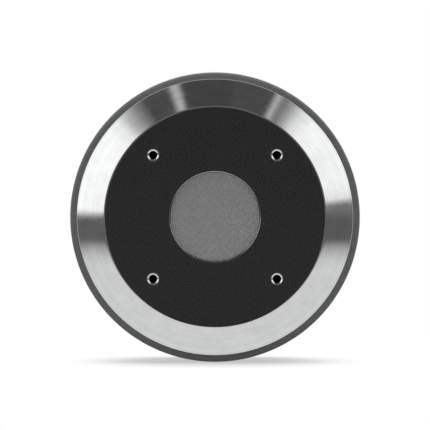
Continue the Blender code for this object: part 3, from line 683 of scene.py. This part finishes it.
@dataclass
class FrontEnd:
    """Everything that faces the horn: turned plate, foam gasket and woven throat mesh."""

    paints: Paints
    bolt_circle: float = 50.8
    bolts: tuple[float, ...] = (45.0, 135.0, 225.0, 315.0)
    # a tapped hole's radius inside its thread and out to the thread's crest
    hole: float = 2.5
    crest: float = 3.0
    sink: float = 3.2
    sink_depth: float = 0.41
    face: float = 1.8
    punch: float = 3.7
    # half the flattened wire's thickness and half its width
    wire: float = 0.15
    wire_width: float = 0.33
    pitch: float = 0.93
    mesh_radius: float = 25.7
    mesh_depth: float = 2.25
    weave_turn: float = 38.0
    made: list[bpy.types.Object] = field(default_factory=list)

    def build(self) -> None:
        """Models the pieces."""
        self.made = [self._plate(), self._gasket(), self._mesh()]

    def dress(self) -> None:
        """Finishes the pieces and puts them on the motor."""
        slots = ("turned_steel", "foam", "steel_mesh")
        nodes = ("front_plate", "front_gasket", "throat_mesh")
        angles = (SMOOTH_ANGLE, SMOOTH_ANGLE, CROWN_ANGLE)
        for piece, slot, node, angle in zip(self.made, slots, nodes, angles):
            Bench.smooth(piece, angle)
            Bench.finish(piece, self.paints[slot], slot, "motor", node)
        self._oil_and_shade_threads(self.made[0])

    def _oil_and_shade_threads(self, plate: bpy.types.Object) -> None:
        """Gives the tapped walls their dark finish: cutting oil, and painted shade deep in the
        holes.

        Args:
            plate: the front plate.
        """
        plate.data.materials.append(self.paints["tapped_steel"])
        axes = [Vector(self._place(turn, 0)) * MM for turn in self.bolts]
        reach = (self.crest + 0.1) * MM
        start = (self.face + self.sink_depth) * MM
        # the faces deep in each hole get the dark finish: oil, plus painted shade in the holes
        for face in plate.data.polygons:
            near = min(math.hypot(face.center.x - a.x, face.center.z - a.z) for a in axes)
            if near < reach and face.center.y > start:
                face.material_index = 1

    def _place(self, degrees: float, depth: float) -> tuple[float, float, float]:
        """A point on the bolt circle, in mm."""
        turn = math.radians(degrees)
        return (self.bolt_circle * math.cos(turn), depth, self.bolt_circle * math.sin(turn))

    def _plate(self) -> bpy.types.Object:
        """The front plate: flat land, crowned chamfer, small edge and four M6 threads.

        Returns:
            The plate.
        """
        land, brim, drop, bulge, steps = 64.5, 80.15, 8.2, 0.5, 10
        # which way the chamfer's crown bulges
        outward, forward = 0.47, 0.88
        chamfer: Outline = []
        for step in range(1, steps):
            part = step / steps
            lift = bulge * math.sin(math.pi * part)
            radius = land + (brim - land) * part + lift * outward
            chamfer.append((radius, self.face + drop * part - lift * forward))
        edge = [(brim, self.face + drop), (brim + 0.2, 10.15), (brim + 0.32, 10.4)]
        held = [(land - 0.6, self.face), (land - 0.05, self.face), (land + 0.1, self.face + 0.03)]
        back = [(80.5, 11.3), (80.5, 19.0), (80.3, 19.6), (79.9, 19.8), (79.2, 19.8)]
        bore = [(31.9, 19.8), (31.5, 19.8), (31.3, 19.6), (31.3, 2.1), (31.6, 1.8), (32.4, 1.8)]
        plate = Bench.turned("front_plate_turned", held + chamfer + edge + back + bore, 256)
        root = self.face + self.sink_depth
        cutter = [(0, 0.8), (4.9, 0.8), (self.sink, self.face), (self.hole, root)]
        cutter += thread(self.crest, self.hole, root, 15.0, 1.0) + [(self.hole, 15.8), (0, 17.2)]
        centre = self._place(self.bolts[0], 0)
        first = Bench.turned("thread_cutter", cutter, 40, centre)
        others = [Bench.around(first, "thread_cutter", turn) for turn in (90, 180, 270)]
        Bench.combine(plate, Bench.join(first, *others), "DIFFERENCE")
        return plate

    def _gasket(self) -> bpy.types.Object:
        """The foam ring with its four punched holes.

        Returns:
            The gasket.
        """
        ring = eased([(26.5, 0.0), (63.8, 0.0), (63.8, 1.5), (26.5, 1.5)], 0.22)
        gasket = Bench.turned("front_gasket_foam", ring, 256)
        punches = [Bench.rod("punch", self.punch, 8, self._place(turn, 1)) for turn in self.bolts]
        Bench.combine(gasket, Bench.join(*punches), "DIFFERENCE")
        return gasket

    def _wire_pair(self) -> bpy.types.Object:
        """One wave of a wire and, a pitch along, its neighbour half a wave on.

        Returns:
            Both wires as one object.
        """
        Bench.clear()
        wave = 2 * self.pitch
        bpy.ops.mesh.primitive_circle_add(
            vertices=6,
            radius=self.wire_width * MM,
            location=(0, self.wire * MM, 0),
            rotation=(0, math.pi / 2, 0),
        )
        pair = Bench.fix("wire")
        Bench.enter()
        bpy.ops.transform.resize(value=(1, self.wire / self.wire_width, 1))
        heights = [math.cos(math.tau * step / 4) * self.wire for step in range(5)]
        for before, after in zip(heights, heights[1:]):
            step = Vector((wave / 4, after - before, 0)) * MM
            bpy.ops.mesh.extrude_region_move(TRANSFORM_OT_translate={"value": tuple(step)})
        bpy.ops.object.mode_set(mode="OBJECT")
        shift = Matrix.Translation(Vector((self.pitch, 0, self.pitch)) * MM)
        return Bench.join(pair, Bench.copy(pair, "wire", shift))

    def _repeat(self, obj: bpy.types.Object, count: int, step: Vector) -> None:
        """Repeats an object in a row and joins the ends that meet.

        Args:
            obj: the object to repeat.
            count: how many there are in the row.
            step: from one to the next, in metres.
        """
        Bench.pick(obj)
        bpy.ops.object.modifier_add(type="ARRAY")
        row = obj.modifiers[-1]
        row.count, row.use_relative_offset, row.use_constant_offset = count, False, True
        row.constant_offset_displace = step
        row.use_merge_vertices, row.merge_threshold = True, MERGE * 5
        bpy.ops.object.modifier_apply(modifier=row.name)

    def _mesh(self) -> bpy.types.Object:
        """The woven wire cloth: two crossing sets of waved wires, trimmed to a disc with a rim.

        The wires are selected by the row they wave about, so that a wire isn't cut lengthways.

        Returns:
            The cloth.
        """
        half = int(self.mesh_radius / self.pitch / 2) + 2
        cloth = self._wire_pair()
        self._repeat(cloth, 2 * half, Vector((2 * self.pitch * MM, 0, 0)))
        self._repeat(cloth, 2 * half, Vector((0, 0, 2 * self.pitch * MM)))
        back = Matrix.Translation(Vector((-1, 0, -1)) * 2 * half * self.pitch * MM)
        cloth.data.transform(back)
        Bench.pick(cloth)
        bpy.ops.object.mode_set(mode="EDIT")
        bpy.ops.mesh.select_mode(type="VERT")
        bpy.ops.mesh.select_all(action="DESELECT")
        bpy.ops.object.mode_set(mode="OBJECT")
        for point in cloth.data.vertices:
            row = round(point.co.z / (self.pitch * MM)) * self.pitch * MM
            point.select = math.hypot(point.co.x, row) > self.mesh_radius * MM
        bpy.ops.object.mode_set(mode="EDIT")
        bpy.ops.mesh.delete(type="VERT")
        Bench.leave(6)
        cross = Matrix.Rotation(math.pi / 2, 4, "Y") @ Matrix.Rotation(math.pi, 4, "X")
        cloth = Bench.join(cloth, Bench.copy(cloth, "weft", cross))
        middle = Matrix.Translation((0, self.mesh_depth * MM, 0))
        turn = Matrix.Rotation(math.radians(self.weave_turn), 4, "Y")
        cloth.data.transform(middle @ turn)
        outline = [(25.42, 2.14), (25.48, 1.99), (25.68, 1.91), (25.88, 1.99), (25.94, 2.14)]
        outline += [(25.94, 2.5), (25.42, 2.5)]
        cloth = Bench.join(cloth, Bench.turned("rim", outline, 192))
        cloth.name = cloth.data.name = "throat_mesh_woven"
        return cloth


@dataclass
class Motor:
    """The magnet system: pole piece, ferrite ring and top plate."""

    paints: Paints
    screws: int = 6
    screw_circle: float = 70.7
    made: list[bpy.types.Object] = field(default_factory=list)

    def build(self) -> None:
        """Models the pieces."""
        flare = [(25.0, 2.8), (22.9, 10.0), (21.3, 19.0), (20.3, 28.0), (19.8, 38.0)]
        pole = [(26.2, 1.8), (31.0, 1.8), (31.0, 20.1), (35.8, 20.1), (35.8, 50.4), (33.0, 50.4)]
        pole += [(33.0, 38.0)] + flare[::-1] + [(26.2, 2.8)]
        ring = [(43.0, 20.1), (85.0, 20.1), (85.0, 40.1), (43.0, 40.1)]
        plate = [(38.5, 40.4), (80.0, 40.4), (80.0, 50.4), (38.5, 50.4)]
        top = Bench.turned("top_plate_turned", eased(plate, 0.5), 192)
        hole = Bench.rod("drill", 2.3, 20, (self.screw_circle, 52, 0), sides=24)
        holes = [Bench.around(hole, "drill", 60 * i) for i in range(1, self.screws)]
        Bench.combine(top, Bench.join(hole, *holes), "DIFFERENCE")
        self.made = [
            Bench.turned("pole_piece_turned", eased(pole, 0.25), 192),
            Bench.turned("ferrite_ring_ground", eased(ring, 1.0), 256),
            top,
        ]

    def dress(self) -> None:
        """Finishes the pieces and puts them on the motor."""
        slots = ("turned_steel", "ferrite", "plated_steel")
        nodes = ("pole_piece", "ferrite_magnet", "top_plate")
        for piece, slot, node in zip(self.made, slots, nodes):
            Bench.smooth(piece)
            Bench.finish(piece, self.paints[slot], slot, "motor", node)


@dataclass
class RearHousing:
    """The finned rear cover with its terminal block, and the screws that hold it."""

    paints: Paints
    screw_circle: float = 70.7
    bare: tuple[int, ...] = (75, 90, 105)
    cover: Optional[bpy.types.Object] = None
    screws: list[bpy.types.Object] = field(default_factory=list)

    def build(self) -> None:
        """Models the cover and one screw, and copies the screw."""
        self.cover = self._cover()
        first = self._screw()
        self.screws = [first] + [
            Bench.around(first, f"cover_screw_pan_{i + 1}", 60 * i) for i in range(1, 6)
        ]

    def dress(self) -> None:
        """Finishes the pieces and puts them on the motor."""
        Bench.smooth(self.cover)
        plastic = self.paints["cover_plastic"]
        Bench.finish(self.cover, plastic, "cover_plastic", "motor", "rear_cover")
        for index, screw in enumerate(self.screws, 1):
            Bench.smooth(screw)
            Bench.finish(
                screw, self.paints["black_screw"], "black_screw", "motor", f"cover_screw_{index}"
            )

    def _cover(self) -> bpy.types.Object:
        """A moulded cup on a flange, with fins, terminal block and a round recess.

        Returns:
            The cover.
        """
        flange = [(62.2, 51.8), (75.2, 51.8), (75.2, 56.0)]
        flange += [(67.2, 56.0), (66.4, 56.4), (66.2, 57.4)]
        edge = arc((60.2, 78.0), 6.0, 0, 90, 8)
        recess = [(33.0, 84.0), (32.2, 83.9), (32.0, 83.5), (31.6, 83.2), (30.5, 83.2)]
        inside = [(0, 83.2), (0, 80.0), (58.2, 80.0), (61.0, 78.9), (62.2, 76.0)]
        cup = flange + edge + [(58.0, 84.0)] + recess + inside
        start = cup.index((0, 80.0))
        cup = cup[start:] + cup[:start]
        cover = Bench.turned("rear_cover_moulded", eased(cup, 0.3), 192)
        fin = Bench.block("fin", (63.5, 53.0, -1.2), (70.2, 76.0, 1.2), 0.55)
        # no fin over a screw or beside the terminal block
        places = [turn for turn in range(15, 360, 15) if turn % 60 and turn not in self.bare]
        fins = [Bench.around(fin, "fin", turn) for turn in places]
        bpy.data.objects.remove(fin)
        block = Bench.block("block", (-22, 57.5, 55), (22, 79.5, 69.2), 2.2, 4)
        for tool in (Bench.join(*fins), block):
            Bench.combine(cover, tool, "UNION")
        pocket = Bench.block("pocket", (-19, 60.5, 45), (19, 76.5, 64.2), 1.0, 2)
        drill = Bench.rod("drill", 2.3, 12, (self.screw_circle, 54, 0), sides=32)
        drills = [Bench.around(drill, "drill", 60 * i) for i in range(1, 6)]
        bores = [Bench.rod("bore", 3.6, 14, (x, 68.5, 68), Axis.UP, 32) for x in (-10, 10)]
        for tool in (pocket, Bench.join(drill, *drills), Bench.join(*bores)):
            Bench.combine(cover, tool, "DIFFERENCE")
        return cover

    def _screw(self) -> bpy.types.Object:
        """An M4 pan-head screw with a hexagon socket.

        Returns:
            The first screw.
        """
        head = [(2.0, 56.3), (3.6, 56.3), (3.9, 56.5), (3.9, 57.5), (3.7, 58.2), (3.1, 58.7)]
        head += [(2.3, 58.9), (0, 58.9)]
        shank = [(0, 42.6), (1.4, 42.6)] + thread(2.0, 1.65, 43.2, 54.0, 0.7)
        screw = Bench.turned("cover_screw_pan_1", shank + head, 40, (self.screw_circle, 0, 0))
        socket = Bench.rod("socket", 1.45, 4, (self.screw_circle, 59.3, 0), sides=6)
        Bench.combine(screw, socket, "DIFFERENCE")
        return screw


@dataclass
class Terminal:
    """One push terminal: insulating bush, spring, post and the cap that is pressed."""

    paints: Paints
    name: str
    x: float
    cap_slot: str
    depth: float = 68.5
    ribs: int = 18
    # the spring's wire radius, its coils and the steps in one coil
    wire: float = 0.28
    turns: int = 3
    facets: int = 24
    made: dict[str, bpy.types.Object] = field(default_factory=dict)

    def build(self) -> None:
        """Models the four pieces."""
        centre = (self.x, self.depth, 0)
        bush = [(2.4, 63.9), (3.4, 63.9), (3.4, 69.5), (6.5, 69.5)]
        bush += [(6.5, 71.0), (6.0, 71.5), (2.4, 71.5)]
        self.made["bush"] = Bench.turned(
            f"terminal_bush_{self.name}", eased(bush, 0.15), 64, centre, Axis.UP
        )
        self.made["cap"] = self._cap(centre)
        self.made["post"] = self._post(centre)
        self.made["spring"] = self._spring()

    def dress(self) -> None:
        """Finishes the pieces and puts each on its body."""
        for piece in self.made.values():
            Bench.smooth(piece)
        name, paints, slot = self.name, self.paints, self.cap_slot
        bush, cap, spring = (self.made[piece] for piece in ("bush", "cap", "spring"))
        Bench.finish(bush, paints[slot], slot, "motor", f"terminal_bushing_{name}")
        Bench.finish(self.made["post"], paints["brass"], "brass", "motor", f"terminal_post_{name}")
        Bench.finish(cap, paints[slot], slot, f"button_{name}", f"terminal_button_{name}")
        Bench.finish(spring, paints["brass"], "brass", "motor", f"terminal_spring_{name}")
        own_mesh(spring)

    def _cap(self, centre: tuple[float, float, float]) -> bpy.types.Object:
        """The push cap: a ribbed grip, an eased top and a bore for the post.

        Args:
            centre: a point on its axis, in mm.

        Returns:
            The cap.
        """
        low, high = (limit.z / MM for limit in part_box(f"terminal_button_{self.name}"))
        outline = [(3.6, low), (5.0, low), (5.4, low + 0.4), (5.4, high - 1.0), (5.2, high - 0.4)]
        outline += [(4.7, high), (2.8, high), (2.4, high - 0.35)]
        outline += [(2.4, low + 0.9), (3.6, low + 0.9)]
        cap = Bench.turned(f"terminal_cap_{self.name}", outline, 72, centre, Axis.UP)
        grooves = []
        for rib in range(self.ribs):
            turn = math.tau * rib / self.ribs
            place = (self.x + 5.72 * math.cos(turn), self.depth + 5.72 * math.sin(turn), low + 1.6)
            grooves.append(Bench.rod("groove", 0.55, 4.6, place, Axis.UP, 12))
        Bench.combine(cap, Bench.join(*grooves), "DIFFERENCE")
        return cap

    def _post(self, centre: tuple[float, float, float]) -> bpy.types.Object:
        """The post: threaded tail, plain shank, button head and a cross hole for the wire.

        Args:
            centre: a point on its axis, in mm.

        Returns:
            The post.
        """
        outline = [(0, 59.0), (1.6, 59.0)] + thread(2.0, 1.7, 59.5, 64.5, 0.7)
        outline += [(2.0, 65.0), (2.0, 80.0), (2.8, 80.0), (3.0, 80.2), (3.0, 80.6)]
        outline += [(2.6, 80.9), (1.8, 81.0), (0, 81.0)]
        post = Bench.turned(f"terminal_post_{self.name}_turned", outline, 48, centre, Axis.UP)
        drill = Bench.rod("drill", 0.8, 8, (self.x, self.depth, 78.6), sides=24)
        Bench.combine(post, drill, "DIFFERENCE")
        return post

    def _spring(self) -> bpy.types.Object:
        """A coil spring from a small circle wound round the post.

        Returns:
            The spring.
        """
        low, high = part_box(f"terminal_spring_{self.name}")
        wire = self.wire
        radius = (high.x - low.x) / 2 / MM - wire
        climb = (high.z - low.z) / MM - 2 * wire
        Bench.clear()
        bpy.ops.mesh.primitive_circle_add(
            vertices=8,
            radius=wire * MM,
            location=Vector((self.x + radius, self.depth, low.z / MM + wire)) * MM,
            rotation=(math.pi / 2, 0, 0),
        )
        spring = Bench.fix(f"terminal_spring_{self.name}_wound")
        Bench.enter()
        centre = Vector((self.x, self.depth, 0)) * MM
        steps = self.facets * self.turns
        for step in range(steps):
            before, after = (math.tau * self.turns * s / steps for s in (step, step + 1))
            across = math.cos(after) - math.cos(before)
            back = math.sin(after) - math.sin(before)
            shift = Vector((across, back, 0)) * radius + Vector((0, 0, climb / steps))
            bpy.ops.mesh.extrude_region_move(TRANSFORM_OT_translate={"value": tuple(shift * MM)})
            pivot = centre + Vector((math.cos(after), math.sin(after), 0)) * radius * MM
            pivot.z = (low.z / MM + wire + climb * (step + 1) / steps) * MM
            bpy.ops.transform.rotate(
                value=-(after - before), orient_axis="Z", center_override=tuple(pivot)
            )
        Bench.leave(8)
        return spring


@dataclass
class InnerWorks:
    """The CAD pieces shown as they are: diaphragm assembly, leads, pads and small hardware."""

    paints: Paints

    def dress(self) -> None:
        """Gives every CAD node that's still shown the finish of its slot."""
        for name, node in frame["nodes"].items():
            if node.hide_render:
                continue
            for place in node.material_slots:
                slot = place.material.name.split(".")[0]
                if slot not in self.paints:
                    raise KeyError(f"{name} has slot {slot}")
                place.material = self.paints[slot]


# Studio


@dataclass(frozen=True)
class Panel:
    """A strip of light or dark round the driver's axis.

    Attributes:
        low: where it starts, in degrees from straight up, positive to the right.
        high: where it ends.
        level: its brightness; the light fades evenly from one panel to the next.
    """

    low: float
    high: float
    level: float


@dataclass
class Studio:
    """Floor, light, world and camera of the catalogue view."""

    floor_height: float = -0.085
    floor_radius: float = 0.9
    floor_shade: float = 0.17
    fade: tuple[float, float] = (0.17, 0.55)
    camera_distance: float = 1.6
    camera_height: float = 0.00116
    lens: float = 231.3
    top_power: float = 45.0
    # where the dark ahead turns into the panels, and the panels into the grey behind, along Y
    ahead: tuple[float, float] = (-0.93, -0.78)
    ahead_level: float = 0.08
    behind: tuple[float, float] = (-0.30, -0.05)
    rear_level: float = 0.45
    strength: float = 2.0
    # the floor's own light to the camera, in reflections, and clear of the shadow
    floor_glow: float = 0.52
    floor_mirrored: float = 0.88
    floor_white: float = 1.02
    contact_depth: float = 0.03
    shadow_reach: tuple[float, float] = (0.03, 0.105)
    panels: tuple[Panel, ...] = (
        Panel(-180, -91.2, 0.15),
        Panel(-89.5, -89.5, 0.36),
        Panel(-86.8, -54, 1.40),
        Panel(-47, -46, 1.20),
        Panel(-42, -42, 0.67),
        Panel(-36, -36, 0.30),
        Panel(-31, -20.5, 0.09),
        Panel(-18.3, -16.5, 0.60),
        Panel(-14, 7, 0.075),
        Panel(8, 25.8, 0.09),
        Panel(27.6, 28.4, 0.63),
        Panel(30, 32, 0.235),
        Panel(36, 36, 0.53),
        Panel(40, 40, 1.0),
        Panel(47, 74, 1.31),
        Panel(81.5, 81.5, 1.13),
        Panel(84, 86, 0.22),
        Panel(91, 180, 0.14),
    )

    def build(self) -> None:
        """Sets up the whole view."""
        self._world()
        self._floor()
        self._light()
        self._camera()
        bpy.context.scene.view_settings.view_transform = "Standard"

    def _world(self) -> None:
        """Panels of light round the driver's axis; the camera itself sees white."""
        world = bpy.data.worlds.new("softboxes")
        bpy.context.scene.world = world
        world.use_nodes = True
        tree = world.node_tree
        tree.nodes.clear()
        way = add(tree, "ShaderNodeTexCoord").outputs["Generated"]
        parts = add(tree, "ShaderNodeSeparateXYZ", None, {0: way}).outputs
        inputs: Inputs = {0: parts[0], 1: parts[2]}
        turn = add(tree, "ShaderNodeMath", {"operation": "ARCTAN2"}, inputs).outputs[0]
        inputs = {0: turn, 1: 1 / math.tau, 2: 0.5}
        share = add(tree, "ShaderNodeMath", {"operation": "MULTIPLY_ADD"}, inputs).outputs[0]
        ramp = add(tree, "ShaderNodeValToRGB", None, {0: share})
        self._fill_ramp(ramp.color_ramp)
        inputs = {"Value": parts[1], "From Min": self.ahead[0], "From Max": self.ahead[1]}
        ahead = add(tree, "ShaderNodeMapRange", EASED, inputs).outputs[0]
        blend = {0: ahead, 6: (*[self.ahead_level] * 3, 1.0), 7: ramp.outputs[0]}
        level = add(tree, "ShaderNodeMix", {"data_type": "RGBA"}, blend).outputs[2]
        inputs = {"Value": parts[1], "From Min": self.behind[0], "From Max": self.behind[1]}
        behind = add(tree, "ShaderNodeMapRange", EASED, inputs).outputs[0]
        blend = {0: behind, 6: level, 7: (*[self.rear_level] * 3, 1.0)}
        sweep = add(tree, "ShaderNodeMix", {"data_type": "RGBA"}, blend).outputs[2]
        inputs = {"Color": sweep, "Strength": self.strength}
        lit = add(tree, "ShaderNodeBackground", None, inputs)
        white = add(tree, "ShaderNodeBackground", None, {"Color": (1, 1, 1, 1), "Strength": 1.0})
        seen = add(tree, "ShaderNodeLightPath").outputs["Is Camera Ray"]
        blend = {0: seen, 1: lit.outputs[0], 2: white.outputs[0]}
        mix = add(tree, "ShaderNodeMixShader", None, blend)
        add(tree, "ShaderNodeOutputWorld", None, {"Surface": mix.outputs[0]})

    def _fill_ramp(self, ramp: bpy.types.ColorRamp) -> None:
        """Lays the panels out along the ramp, at half their level.

        Args:
            ramp: the ramp to fill.
        """
        stops: list[tuple[float, float]] = []
        for panel in self.panels:
            ends = {panel.low, panel.high}
            stops += [((end + 180) / 360, panel.level / 2) for end in sorted(ends)]
        while len(ramp.elements) < len(stops):
            ramp.elements.new(0.5)
        for element, (place, level) in zip(ramp.elements, stops):
            element.position = place
            element.color = (level, level, level, 1.0)

    def _floor(self) -> None:
        """A pale round floor that fades out before it could show in the sides' reflections."""
        Bench.clear()
        bpy.ops.mesh.primitive_circle_add(
            vertices=96,
            radius=self.floor_radius,
            fill_type="NGON",
            location=(0, 0, self.floor_height),
        )
        floor = Bench.fix("floor")
        material = bpy.data.materials.new("white sweep, matt paper")
        material.use_nodes = True
        tree = material.node_tree
        tree.nodes.clear()
        place = add(tree, "ShaderNodeTexCoord").outputs["Object"]
        shifts = ((0, 0, -self.floor_height), (0, -self.contact_depth, 0))
        shares = []
        for shift, (low, high) in zip(shifts, (self.fade, self.shadow_reach)):
            inputs: Inputs = {0: place, 1: shift}
            place = add(tree, "ShaderNodeVectorMath", {"operation": "ADD"}, inputs).outputs[0]
            settings = {"operation": "LENGTH"}
            away = add(tree, "ShaderNodeVectorMath", settings, {0: place}).outputs["Value"]
            inputs = {"Value": away, "From Min": low, "From Max": high}
            shares.append(add(tree, "ShaderNodeMapRange", EASED, inputs).outputs[0])
        gone, evened = shares
        inputs = {"Color": (*[self.floor_shade] * 3, 1)}
        paper = add(tree, "ShaderNodeBsdfDiffuse", None, inputs)
        rays = add(tree, "ShaderNodeLightPath").outputs
        product = {"operation": "MULTIPLY"}
        inputs = {0: rays["Is Camera Ray"], 1: self.floor_glow}
        seen = add(tree, "ShaderNodeMath", product, inputs).outputs[0]
        glow = add(tree, "ShaderNodeEmission", None, {"Strength": seen})
        lit = add(tree, "ShaderNodeAddShader", None, {0: paper.outputs[0], 1: glow.outputs[0]})
        even = add(tree, "ShaderNodeEmission", None, {"Strength": self.floor_mirrored})
        blend = {0: rays["Is Glossy Ray"], 1: lit.outputs[0], 2: even.outputs[0]}
        sweep = add(tree, "ShaderNodeMixShader", None, blend)
        white = add(tree, "ShaderNodeEmission", None, {"Strength": self.floor_white})
        inputs = {0: evened, 1: rays["Is Camera Ray"]}
        only = add(tree, "ShaderNodeMath", product, inputs).outputs[0]
        blend = {0: only, 1: sweep.outputs[0], 2: white.outputs[0]}
        sweep = add(tree, "ShaderNodeMixShader", None, blend)
        clear = add(tree, "ShaderNodeBsdfTransparent")
        blend = {0: gone, 1: sweep.outputs[0], 2: clear.outputs[0]}
        mix = add(tree, "ShaderNodeMixShader", None, blend)
        add(tree, "ShaderNodeOutputMaterial", None, {"Surface": mix.outputs[0]})
        floor.data.materials.append(material)

    def _light(self) -> None:
        """One large soft light overhead, kept out of the steel's reflections."""
        Bench.clear()
        bpy.ops.object.light_add(type="AREA", location=(0, 0.25, 1.2))
        lamp = bpy.context.object
        lamp.name = lamp.data.name = "overhead softbox"
        lamp.data.size = 1.0
        lamp.data.energy = self.top_power
        lamp.visible_glossy = False

    def _camera(self) -> None:
        """A long lens straight in front."""
        Bench.clear()
        place = (0, -self.camera_distance, self.camera_height)
        bpy.ops.object.camera_add(location=place, rotation=(math.pi / 2, 0, 0))
        camera = bpy.context.object
        camera.name = camera.data.name = "front camera"
        camera.data.sensor_width = 36.0
        camera.data.lens = self.lens
        camera.data.clip_start = 0.01
        bpy.context.scene.camera = camera


def main() -> None:
    """Builds the driver and its studio."""
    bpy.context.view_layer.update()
    paints = finishes()
    parts = [
        FrontEnd(paints),
        Motor(paints),
        RearHousing(paints),
        Terminal(paints, "red", 10.0, "red_plastic"),
        Terminal(paints, "black", -10.0, "black_plastic"),
    ]
    for part in parts:
        part.build()
        part.dress()
    InnerWorks(paints).dress()
    for piece in bpy.data.objects:
        if piece.type == "MESH" and not piece.hide_render:
            log.info("%s: %d faces", piece.name, len(piece.data.polygons))
    Studio().build()


if __name__ == "__main__":
    main()
